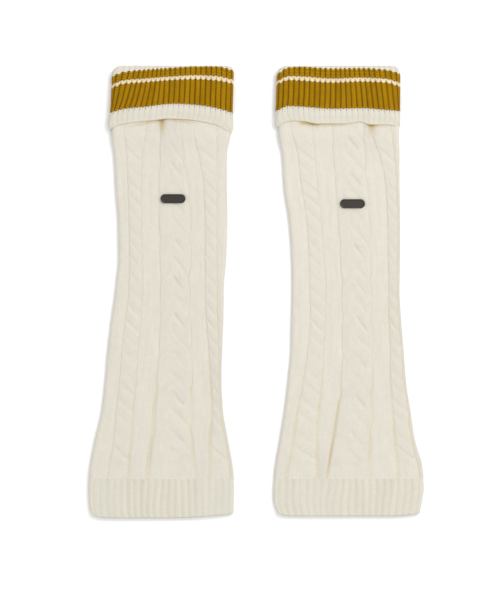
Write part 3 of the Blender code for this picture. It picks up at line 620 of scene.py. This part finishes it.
# The cuff's sides, its top and lower edge, where that edge stands off the leg, how its ribs lean,
# and where the first band, the stripe and the cream below the second band begin.
Outline = namedtuple("Outline", "down left right")
Edge = namedtuple("Edge", "across down")
Lift = namedtuple("Lift", "across spread high")
Lean = namedtuple("Lean", "share slope")
Bands = namedtuple("Bands", "across gold stripe cream")
Cuff = namedtuple("Cuff", "name side outline top edge leans lifts bands")
LEFT_CUFF = Cuff(
    name="left", side=-1,
    outline=named(
        Outline, (0, -61, 60.5), (20, -61.6, 60), (36, -62.5, 59.5), (44, -64, 59.8), (51, -65, 60),
        (56, -64.8, 59.2), (60, -63.8, 58),
    ),
    top=named(
        Edge, (-61.5, 8.5), (-60, 4.5), (-56.5, 1.4), (-52, 0), (52, 0), (57, 0.8), (60, 2.8),
        (61.5, 6),
    ),
    edge=named(
        Edge, (-64, 66), (-62, 64), (-60, 61.8), (-55.2, 59.3), (-38.5, 56), (-15.5, 53.5),
        (-5.2, 52.4), (11.5, 53), (28.2, 55.2), (44.8, 59.3), (53.2, 64.3), (57.5, 71),
    ),
    leans=named(Lean, (0, 0.08), (0.15, 0.19), (0.33, 0.11), (0.47, 0), (1, 0)),
    lifts=named(Lift, (-10.5, 5, 0.8), (54, 6, 0.3)),
    bands=named(
        Bands, (-61.5, 12.2, 22.1, 47.8), (-48.5, 7.5, 17.5, 44.2), (-28.5, 5.5, 16, 42.2),
        (1.5, 3.2, 13.7, 39.1), (22.5, 1.5, 12.9, 40.2), (41.5, 1.4, 13.9, 43.2),
        (60.5, 6, 17.4, 48.7),
    ),
)
RIGHT_CUFF = Cuff(
    name="right", side=1,
    outline=named(
        Outline, (0, -62.5, 60.5), (30, -63.2, 60.6), (46, -64.2, 60.6), (54, -64.2, 60.6),
        (58, -63.4, 60.3), (60, -62.4, 59.8),
    ),
    top=named(
        Edge, (-62.8, 8.5), (-61, 4), (-58, 1.6), (-53.5, 0), (51, 0), (55.5, 0.6), (59, 3.4),
        (61, 7.5),
    ),
    edge=named(
        Edge, (-63, 64), (-61, 61.4), (-58.5, 58.6), (-54.5, 56), (-46, 54.5), (-37.5, 54.8),
        (-22.5, 57.3), (5.8, 57.3), (20.5, 55.5), (30.5, 58.2), (50, 58.5), (57, 60), (60, 65.5),
    ),
    leans=named(Lean, (0, 0), (0.45, 0), (0.6, -0.07), (0.8, -0.12), (1, -0.08)),
    lifts=named(Lift, (-24, 11, 0.4), (31.5, 6, 0.4)),
    bands=named(
        Bands, (-62.5, 10, 17.9, 46), (-50.5, 2.9, 13.8, 41.4), (-39.5, 2, 14.2, 41.9),
        (-7.5, 4.3, 16.3, 44.1), (21.5, 3.9, 15.3, 43.6), (45.5, 5.4, 16.2, 45.3),
        (60.5, 9.2, 20.4, 46.3),
    ),
)
CUFF_RIBS, CUFF_RIB, CUFF_FLAT, CUFF_GROOVE = 25, 1.3, 5.0, 0.12
CUFF_FULL, CUFF_THIN = 2.6, 1.0
CUFF_COURSE = 2.4
CUFF_LONG, RETURN_DOWN = 60.0, 46.2
# The share of its length over which the cuff thins towards its lower edge, the share of its ribs'
# depth left at that edge and lost over the fold, the depth left out of sight, and how far the
# edge bulges.
THIN_OVER, EDGE_RIB, FOLD_LOSES, FAINT_RIB, EDGE_BULGE = 0.16, 0.3, 0.6, 0.15, 0.7
SLACK = 0.45  # the ribs' depth outside the mustard bands, as a share of that in them
LEAN_ABOUT = 0.45  # how far up the cuff its leaning ribs cross their upright places
TOP_SHAPED = 20.0  # how far down inside the tube the cloth follows the slope of its top
HIDDEN = 160.0  # past the fold by so much that it is plain cream
# Painted shade: how much the purled grooves are darkened, and how much the turned-under lower edge.
GROOVE_PAINTED_SHADE, EDGE_SHADE = 0.95, 0.5  # how purled grooves look, and how dark the turned-under edge
INSIDE_HIGH = RAISED + TUBE_HIGH
RIB_POINTS, BACK_RIB_POINTS, BACK_RIB, RIB_UNEVEN, RIB_WAVE = 14, 6, 0.45, 0.12, 2.4
EDGE_ROWS, OUTSIDE_ROWS, FOLD_ROWS, RETURN_ROWS, INSIDE_ROWS = 7, 60, 11, 20, 14
# The courses at which the bands begin and end, counted down from the top of the first.
GOLD_ONE, STRIPE, GOLD_TWO, CREAM_BAND, EDGE_COURSE = 0, 3.3, 4.6, 15.3, 22
# The courses by which a colour runs lower in a groove than on a ridge, and more below the bands.
GROOVE_DRIP, LAST_DRIP, GROOVE_BOTTOM = 0.33, 1.5, 0.03
# The mustard's and the stripe's gap, purl and fold colours are painted shade, as for the cream.
MUSTARD = Yarn("#C18E00", "#644800", "#584500", "#4E3C00", 0.5)
# The cream stripe is so narrow that it takes on the mustard either side of it.
STRIPE_CREAM = Yarn("#E8DDC6", "#D2BE92", "#A88C46", "#A88C46", 0.25)

Row = namedtuple("Row", "left right low high down top edge rib tilt up past", defaults=(0.0,) * 6)
Ribbing = namedtuple("Ribbing", "ribs flat groove rim sway deep down lift course tint")
striped_rib = knitted(
    "mustard and cream yarn, rib-knitted", CREAM,
    ((GOLD_ONE, STRIPE, MUSTARD), (STRIPE, GOLD_TWO, STRIPE_CREAM), (GOLD_TWO, CREAM_BAND, MUSTARD)),
    relief=0.6,
)


def ribbed_ring(name, side, rows, ribbing, material):
    """A closed ring of ribbed cloth. Each of its rows is one turn round the flattened tube: the
    tube's box, how far down it lies, how much of the piece's top and edge shape it follows, its
    ribs' depth and tilt, and how far up the piece and past the fold it is.

    ribbing says how many ribs there are, how flat their ridges, how wide their grooves and whether
    the last turn is a sharp rim, and has a function each for how far round the tube the ribs sway,
    how deep they are, how far down each place lies, what lifts it, its course in the knitting, and
    how much shade is painted into it, in its purled grooves and elsewhere.
    """
    row = Row(*(np.array(values)[:, None] for values in zip(*rows)))
    ribs = ribbing.ribs
    front = np.arange(ribs * RIB_POINTS) / (ribs * RIB_POINTS)
    back = 1 + np.arange(ribs * BACK_RIB_POINTS) / (ribs * BACK_RIB_POINTS)
    ring = np.concatenate([front, back])
    phase = (ring * ribs) % 1.0
    layer = (row.left, row.right, row.low, row.high)
    moved = (ring + ribbing.sway(ring, row) / tube_whole(layer)) % 2
    is_back = moved > 1
    share = np.where(is_back, 2 - moved, moved)
    x, z, out_x, out_z = over_tube(layer, share * tube_whole(layer), is_back)
    ridge = (0.5 - 0.5 * np.cos(2 * math.pi * phase)) ** (1 / ribbing.flat)
    uneven = 1 + RIB_UNEVEN * np.sin(ring * ribs * RIB_WAVE + side)
    deep = ribbing.deep(share, ribbing.course(x, ribbing.down(x, row), row), row)
    relief = row.rib * deep * np.where(is_back, BACK_RIB, 1.0) * (ridge * uneven - 1)
    x, z = x + out_x * relief * np.cos(row.tilt), z + out_z * relief * np.cos(row.tilt)
    down = ribbing.down(x, row) - relief * np.sin(row.tilt)
    z = z + ribbing.lift(x, z, row)
    count, columns = x.shape
    wale = ring * ribs - 0.5
    off_groove = np.minimum(phase, 1 - phase)
    in_groove = np.exp(-((off_groove / ribbing.groove) ** 2))
    course = ribbing.course(x, down, row)
    bottom = LAST_DRIP * (off_groove < GROOVE_BOTTOM)
    course = course - GROOVE_DRIP * in_groove - bottom * np.exp(-(((course - CREAM_BAND) / 3) ** 2))
    u = np.broadcast_to(wale, x.shape)
    beside_u = np.broadcast_to(np.append(wale[1:], 2.0 * ribs - 0.5), x.shape)
    below = np.roll(course, -1, axis=0)
    corners = [
        np.stack([u, course], -1), np.stack([u, below], -1),
        np.stack([beside_u, np.roll(below, -1, axis=1)], -1),
        np.stack([beside_u, np.roll(course, -1, axis=1)], -1),
    ]
    # Painted shade: the purled grooves and the turned-under edge are darkened in colour.
    purl, shade = ribbing.tint(in_groove * deep * (row.rib > FAINT_RIB), row)
    piece = knit_mesh(
        name, side, x.ravel(), down.ravel(), z.ravel(),
        ring_quads(count, columns, closed=True).reshape(-1, 4),
        np.stack(corners, axis=2).reshape(-1, 4, 2), purl.ravel(),
        np.broadcast_to(shade, x.shape).ravel(), flat=ribbing.rim * columns,
    )
    piece.data.materials.append(material)
    return piece


def make_cuff(cuff):
    """One closed skin: up the outside, over the fold, down and up inside it, and down again."""
    fold_in = (INSIDE_HIGH + SEAM + CUFF_FULL - (INSIDE_HIGH - WALL)) / 2

    def shell(up, part):
        """The tube at this height of the cuff, from its inner face, 0, to its outer one, 1."""
        left, right = sides(cuff.outline, CUFF_LONG * (1 - up))
        thick = CUFF_THIN + (CUFF_FULL - CUFF_THIN) * ease(up / THIN_OVER)
        inset = CUFF_FULL - SEAM - thick * part
        return left + inset, right - inset, CUFF_BACK * (1 - part), INSIDE_HIGH + SEAM + thick * part

    rows = []
    # Round the lower edge, from the inner face outwards, and up the outside to the fold.
    for turn in np.linspace(0, math.pi, EDGE_ROWS)[1:-1]:
        bulge = EDGE_BULGE * math.sin(turn)
        part = (1 - math.cos(turn)) / 2
        rows.append(Row(*shell(0.0, part), bulge, edge=1.0, rib=FAINT_RIB))
    for up in np.linspace(0, 1, OUTSIDE_ROWS) ** 0.95:
        rib = CUFF_RIB * (EDGE_RIB + (1 - EDGE_RIB) * ease(up / THIN_OVER))
        rows.append(Row(*shell(up, 1.0), fold_in * up, top=up, edge=1 - up, rib=rib, up=up))
    top = shell(1.0, 1.0)
    deep = 2 * WALL + SEAM
    turned_in = (top[0] + deep, top[1] - deep, RAISED + BACK_WALL, INSIDE_HIGH - WALL)
    for turn in np.linspace(0, math.pi, FOLD_ROWS)[1:-1]:
        part = (1 - math.cos(turn)) / 2
        layer = [a + (b - a) * part for a, b in zip(top, turned_in)]
        rib = CUFF_RIB * (1 - FOLD_LOSES * part)
        tilt = min(turn, math.pi / 2)
        down = fold_in * (1 - math.sin(turn))
        rows.append(Row(*layer, down, top=1.0, rib=rib, tilt=tilt, up=1.0, past=fold_in * turn))
    # Back down inside the tube, where wall is 1, and up again to the seam under the fold.
    hidden_part = [(down, 1) for down in np.linspace(fold_in, RETURN_DOWN, RETURN_ROWS)]
    hidden_part += [(down, 0) for down in np.linspace(RETURN_DOWN, fold_in, 8)]
    for down, wall in hidden_part:
        left, right = sides(cuff.outline, down)
        inset = deep if wall else WALL + SEAM
        rows.append(Row(
            left + inset, right - inset, RAISED + BACK_WALL * wall, INSIDE_HIGH - WALL * wall, down,
            top=1 - ease(down / TOP_SHAPED), rib=FAINT_RIB * wall, up=1.0,
            past=fold_in * math.pi + down if wall else HIDDEN,
        ))
    middle = WALL + SEAM / 2
    rows.append(Row(
        top[0] + middle, top[1] - middle, RAISED - SEAM / 2, INSIDE_HIGH + SEAM / 2,
        fold_in - SEAM / 2, top=1.0, up=1.0, past=HIDDEN,
    ))
    # The inner face of the turned-down part.
    for up in np.linspace(1, 0, INSIDE_ROWS):
        rows.append(Row(*shell(up, 0.0), fold_in * up, top=up, edge=1 - up, up=up, past=HIDDEN))

    def sway(ring, row):
        """Ribs lean: each is shifted round the tube, one way at the fold, the other at the edge."""
        front = table(cuff.leans, "share", "slope", np.minimum(ring, 1.0))
        first, last = cuff.leans[0].slope, cuff.leans[-1].slope
        lean = np.where(ring > 1, last + (first - last) * (ring - 1), front)
        return lean * (row.up - LEAN_ABOUT) * CUFF_LONG

    def deep_at(share, course, row):
        """The rib is firm in the mustard bands, and slackens in the cream over two or so courses."""
        firm = ease((course + 2) / 2) * (1 - ease((course - CREAM_BAND + 0.5) / 2.5))
        return np.where(row.past > 0, 1.0, SLACK + (1 - SLACK) * firm)

    def down_at(x, row):
        top_edge = row.top * table(cuff.top, "across", "down", x)
        return row.down + top_edge + row.edge * table(cuff.edge, "across", "down", x)

    def lift_at(x, z, row):
        above = ease((z - RAISED) / (INSIDE_HIGH + CUFF_FULL - RAISED))
        return above * (row.past == 0) * (1 - row.up) ** 3 * sum(
            lift.high * np.exp(-(((x - lift.across) / lift.spread) ** 2)) for lift in cuff.lifts
        )

    def painted_shade_at(in_groove, row):
        """Painted shade in its purled grooves, and along its turned-under lower edge."""
        return GROOVE_PAINTED_SHADE * in_groove, EDGE_SHADE * (row.up == 0) * (row.past == 0) * (row.down > 0.3)

    def course_at(x, down, row):
        """How many courses down from the first mustard band's top each point lies."""
        lines = [table(cuff.bands, "across", name, x) for name in ("gold", "stripe", "cream")]
        lines.append(table(cuff.edge, "across", "down", x))
        at = (GOLD_ONE, (STRIPE + GOLD_TWO) / 2, CREAM_BAND, EDGE_COURSE)
        found = (down - lines[0]) / CUFF_COURSE
        for i in range(3):
            part = (down - lines[i]) / (lines[i + 1] - lines[i])
            found = np.where(part >= 0, at[i] + part * (at[i + 1] - at[i]), found)
        return np.where(row.past > 0, (fold_in - lines[0] - row.past) / CUFF_COURSE, found)

    piece = ribbed_ring(
        f"{cuff.name}_ribbed_cuff", cuff.side, rows,
        Ribbing(
            CUFF_RIBS, CUFF_FLAT, CUFF_GROOVE, 0, sway, deep_at, down_at, lift_at, course_at, painted_shade_at,
        ),
        striped_rib,
    )
    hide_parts(f"{cuff.name}_cuff")
    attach(piece, "root")
    left, right = sides(cuff.outline, CUFF_LONG / 2)


for cuff in (LEFT_CUFF, RIGHT_CUFF):
    make_cuff(cuff)

# ---- The hem
# The bottom of the tube ends in a wider, softer cream rib, whose ribs wander a little where the
# cables run into it and nearly vanish at the sides, where the cloth is stretched.

Rib = namedtuple("Rib", "share deep")
Hem = namedtuple("Hem", "name side outline edge ribs")
LEFT_HEM = Hem(
    name="left", side=-1,
    outline=named(
        Outline, (411.65, -84, 60.5), (424, -84.6, 60.8), (438, -84.3, 60.6), (447, -83.4, 60.4),
        (451, -81.5, 60.2),
    ),
    edge=named(
        Edge, (-84.5, 443.5), (-82, 446.8), (-77, 449.3), (-68, 450.7), (-50, 451), (5, 450.8),
        (40, 448.8), (61, 446.4),
    ),
    ribs=named(
        Rib, (0, 0.3), (0.2, 0.45), (0.3, 0.95), (0.5, 0.9), (0.68, 1), (0.78, 0.45), (1, 0.3),
    ),
)
RIGHT_HEM = Hem(
    name="right", side=1,
    outline=named(
        Outline, (411.65, -65, 84), (424, -66, 84.6), (436, -66, 83.2), (444, -64.8, 82),
        (449, -62.5, 80.6),
    ),
    edge=named(
        Edge, (-66.5, 440.5), (-63.5, 444.6), (-60, 447), (-53, 448.7), (-40, 449), (50, 449),
        (72, 447.6), (79, 446.6), (82, 443.8),
    ),
    ribs=named(
        Rib, (0, 0.5), (0.12, 0.8), (0.22, 0.45), (0.36, 0.5), (0.5, 0.9), (0.84, 1), (0.93, 0.6),
        (1, 0.3),
    ),
)
HEM_RIBS, HEM_RIB, HEM_FLAT, HEM_GROOVE = 22, 0.85, 1.2, 0.22
# The last is how much painted shade darkens the hem's grooves.
HEM_LONG, HEM_COURSE, HEM_GROOVE_SHADE = 39.35, 2.2, 0.35
TUCKED = 0.05  # how far the hem's first row is tucked in under the leg's last one
RIB_RISES = 0.09  # the share of the hem's length over which its ribs begin
RIM_ROUND, RIM_SHORT = 0.6, 0.2  # how far the rim bulges, and stops short of the inner face
# How far the ribs lie astray below the cables and elsewhere, in millimetres, and where that is.
ASTRAY_MOST, WANDER, ASTRAY_AT, ASTRAY_WIDE = 2.6, 1.3, 0.4, 0.1
EVEN, HEM_UNEVEN = 0.82, 0.18
# Rib is denser than the plain knitting above it. Its yarn is a little darker, as painted shade for
# the light that falls off towards the hem.
CREAM_RIB = Yarn("#D2CFC3", "#C7C2B4", "#C3B99E", "#B8A26A", 0.1)
cream_rib = knitted("cream acrylic and wool yarn, rib-knitted", CREAM_RIB, relief=0.16)


def make_hem(hem):
    """One closed skin: down the outside from the leg, round the rim, and up the inside."""

    def outline(part):
        return sides(hem.outline, LEG_END + HEM_LONG * part)

    high = TUBE_HIGH + JOIN_HIGH
    left, right = outline(0.0)
    rows = [Row(left, right, 0.0, high - TUCKED, LEG_END - TUCKED)]
    for part in np.linspace(0, 1, 34) ** 1.15:
        left, right = outline(part)
        rib = HEM_RIB * ease(part / RIB_RISES)
        rows.append(Row(left, right, 0.0, high, LEG_END * (1 - part), edge=part, rib=rib, past=part))
    left, right = outline(1.0)
    for turn in np.linspace(0, math.pi, 7)[1:-1]:
        into = (WALL - RIM_SHORT) / 2 * (1 - math.cos(turn))
        rib = HEM_RIB * (1 - into / WALL)
        lower = RIM_ROUND * math.sin(turn) - RIM_ROUND / 2
        layer = (left + into, right - into, into, high - into)
        rows.append(Row(*layer, lower, edge=1.0, rib=rib, past=1.0))
    for part in np.linspace(1, 0, 12):
        left, right = outline(part)
        layer = (left + WALL, right - WALL, BACK_WALL, TUBE_HIGH - WALL)
        rows.append(Row(*layer, LEG_END * (1 - part), edge=part, past=part))

    def sway(ring, row):
        """Ribs that start astray below the cables and straighten lower down."""
        astray = ASTRAY_MOST * np.exp(-(((ring - ASTRAY_AT) / ASTRAY_WIDE) ** 2))
        astray = astray + WANDER * np.sin(ring * 17.0 + hem.side)
        return astray * (0.5 - ease(row.past / 0.8)) * (ring < 1) * np.sin(math.pi * ring)

    def deep_at(share, course, row):
        """Ribs are flatter in some places, and never quite even."""
        slack = EVEN + HEM_UNEVEN * np.sin(share * 57.0 + hem.side) * np.cos(row.past * 2.2)
        return table(hem.ribs, "share", "deep", share) * slack

    piece = ribbed_ring(
        f"{hem.name}_ribbed_hem", hem.side, rows,
        Ribbing(
            HEM_RIBS, HEM_FLAT, HEM_GROOVE, 1, sway, deep_at,
            lambda x, row: row.down + row.edge * table(hem.edge, "across", "down", x),
            lambda x, z, row: 0.0, lambda x, down, row: down / HEM_COURSE,
            lambda in_groove, row: (HEM_GROOVE_SHADE * in_groove, 0.0),
        ),
        cream_rib,
    )
    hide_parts(f"{hem.name}_hem")
    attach(piece, "root")
    left, right = outline(0.47)  # about halfway down


for hem in (LEFT_HEM, RIGHT_HEM):
    make_hem(hem)

# ---- The blank plate
# A small cast plate on the middle cable: dark gunmetal plating, finely brushed all over, with a
# raised rim round a sunken face. It carries nothing.

Plate = namedtuple("Plate", "name side across down")
PLATES = (Plate("left", -1, 0.0, 132.5), Plate("right", 1, 13.0, 137.5))
PLATE_LONG, PLATE_WIDE, PLATE_STEPS = 25.0, 9.0, 24
BRUSHED = (300.0, 9000.0, 1.0)  # to the metre: strokes 3 mm long and 0.1 mm apart
PLATE_SEAT = TUBE_HIGH + CABLE_HIGH + CABLE_CROWN + SEAM
# How far in from the plate's outline, and how high over its back, each line of its profile lies.
PLATE_PROFILE = (
    (0.35, 0.0), (0.0, 0.3), (0.0, 0.95), (0.12, 1.25), (0.4, 1.4), (0.95, 1.4), (1.15, 1.3),
    (1.25, 1.1), (1.6, 1.08),
)


def gunmetal_plate():
    """Dark plated zinc: near-black metal with a clear shine and a fine brushed grain."""
    material = bpy.data.materials.new("gunmetal-plated zinc, brushed")
    material.use_nodes = True
    tree = material.node_tree
    where = node(tree, "ShaderNodeTexCoord", {}, out="Object")
    lengthwise = node(tree, "ShaderNodeMapping", {"Vector": where, "Scale": BRUSHED})
    grain = node(tree, "ShaderNodeTexNoise", {"Vector": lengthwise, "Scale": 1.0, "Detail": 4.0})
    dark, light = linear("#2E2B29"), linear("#524D49")
    colour = node(tree, MIX, {0: grain, 6: dark, 7: light}, out=2, data_type="RGBA")
    rough = node(tree, MATH, {0: grain, 1: 0.25, 2: 0.22}, operation="MULTIPLY_ADD")
    bump = node(tree, "ShaderNodeBump", {"Height": grain, "Strength": 0.25, "Distance": 0.05 * MM})
    shader = tree.nodes["Principled BSDF"]
    shader.inputs["Metallic"].default_value = 1.0
    for socket, value in (("Base Color", colour), ("Roughness", rough), ("Normal", bump)):
        tree.links.new(value, shader.inputs[socket])
    return material


gunmetal = gunmetal_plate()


def make_plate(plate):
    """A solid of outlines with half-round ends, one above another, closed by two flat faces."""
    radius, straight = PLATE_WIDE / 2, (PLATE_LONG - PLATE_WIDE) / 2
    turns = np.linspace(-math.pi / 2, math.pi / 2, PLATE_STEPS + 1)
    ring_x = np.concatenate([np.cos(turns), -np.cos(turns)])
    ring_y = np.concatenate([np.sin(turns), -np.sin(turns)])
    ends = np.repeat([straight, -straight], PLATE_STEPS + 1)
    seat = (plate.across + plate.side * SPACING / 2, LENGTH / 2 - plate.down, PLATE_SEAT)
    points, count = [], len(ends)
    for inset, high in PLATE_PROFILE:
        for end, x, y in zip(ends, ring_x, ring_y):
            point = (end + (radius - inset) * x, (radius - inset) * y, high)
            points.append(tuple((p + s) * MM for p, s in zip(point, seat)))
    faces = ring_quads(len(PLATE_PROFILE), count)[..., [0, 3, 2, 1]].reshape(-1, 4).tolist()
    faces += [list(range(len(points) - count, len(points))), list(range(count))[::-1]]
    mesh = bpy.data.meshes.new(f"{plate.name}_blank_plate")
    mesh.from_pydata(points, [], faces)
    mesh.polygons.foreach_set("use_smooth", [len(face) == 4 for face in faces])
    mesh.materials.append(gunmetal)
    piece = bpy.data.objects.new(mesh.name, mesh)
    bpy.context.scene.collection.objects.link(piece)
    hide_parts(f"{plate.name}_badge")
    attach(piece, "root")


for plate in PLATES:
    make_plate(plate)

# ---- The floor, light and camera
# A sweep of matt white paper that shows as pure white but for soft shadows, a large soft light up
# to the right, and a camera straight above that sees 500 by 600 mm.

FLOOR = 6.0
corners = [(x * FLOOR / 2, y * FLOOR / 2, 0.0) for x, y in ((-1, -1), (1, -1), (1, 1), (-1, 1))]
sweep = bpy.data.meshes.new("floor")
sweep.from_pydata(corners, [], [(0, 1, 2, 3)])
floor = bpy.data.objects.new("floor", sweep)
bpy.context.scene.collection.objects.link(floor)
paper = bpy.data.materials.new("white paper sweep")
paper.use_nodes = True
paper.node_tree.nodes["Principled BSDF"].inputs["Base Color"].default_value = linear("#F6F6F6")
paper.node_tree.nodes["Principled BSDF"].inputs["Roughness"].default_value = 0.9
sweep.materials.append(paper)

world = bpy.data.worlds.new("studio")
world.use_nodes = True
world.node_tree.nodes["Background"].inputs["Color"].default_value = (1.0, 1.0, 1.0, 1.0)
world.node_tree.nodes["Background"].inputs["Strength"].default_value = 0.98
bpy.context.scene.world = world

SOFTBOX_AT, SOFTBOX_WIDE, SOFTBOX_WATTS = Vector((0.8, 0.8, 1.62)), 0.8, 15.3
light = bpy.data.lights.new("softbox", "AREA")
light.shape, light.size, light.energy = "DISK", SOFTBOX_WIDE, SOFTBOX_WATTS
softbox = bpy.data.objects.new("softbox", light)
softbox.location = SOFTBOX_AT
softbox.rotation_euler = (-SOFTBOX_AT).to_track_quat("-Z", "Y").to_euler()
bpy.context.scene.collection.objects.link(softbox)

VIEW_HIGH, CAMERA_UP = 0.6, 2.4  # what the picture takes in from top to bottom, and from where
VIEW_CENTRE = (-0.0062, -0.008)  # the pair lies a little up and right of the picture's middle
camera = bpy.data.objects.new("camera", bpy.data.cameras.new("camera"))
camera.data.sensor_width = 36.0
camera.data.lens = camera.data.sensor_width * CAMERA_UP / VIEW_HIGH
camera.location = (*VIEW_CENTRE, CAMERA_UP)
bpy.context.scene.collection.objects.link(camera)
bpy.context.scene.camera = camera
bpy.context.scene.view_settings.view_transform = "Standard"
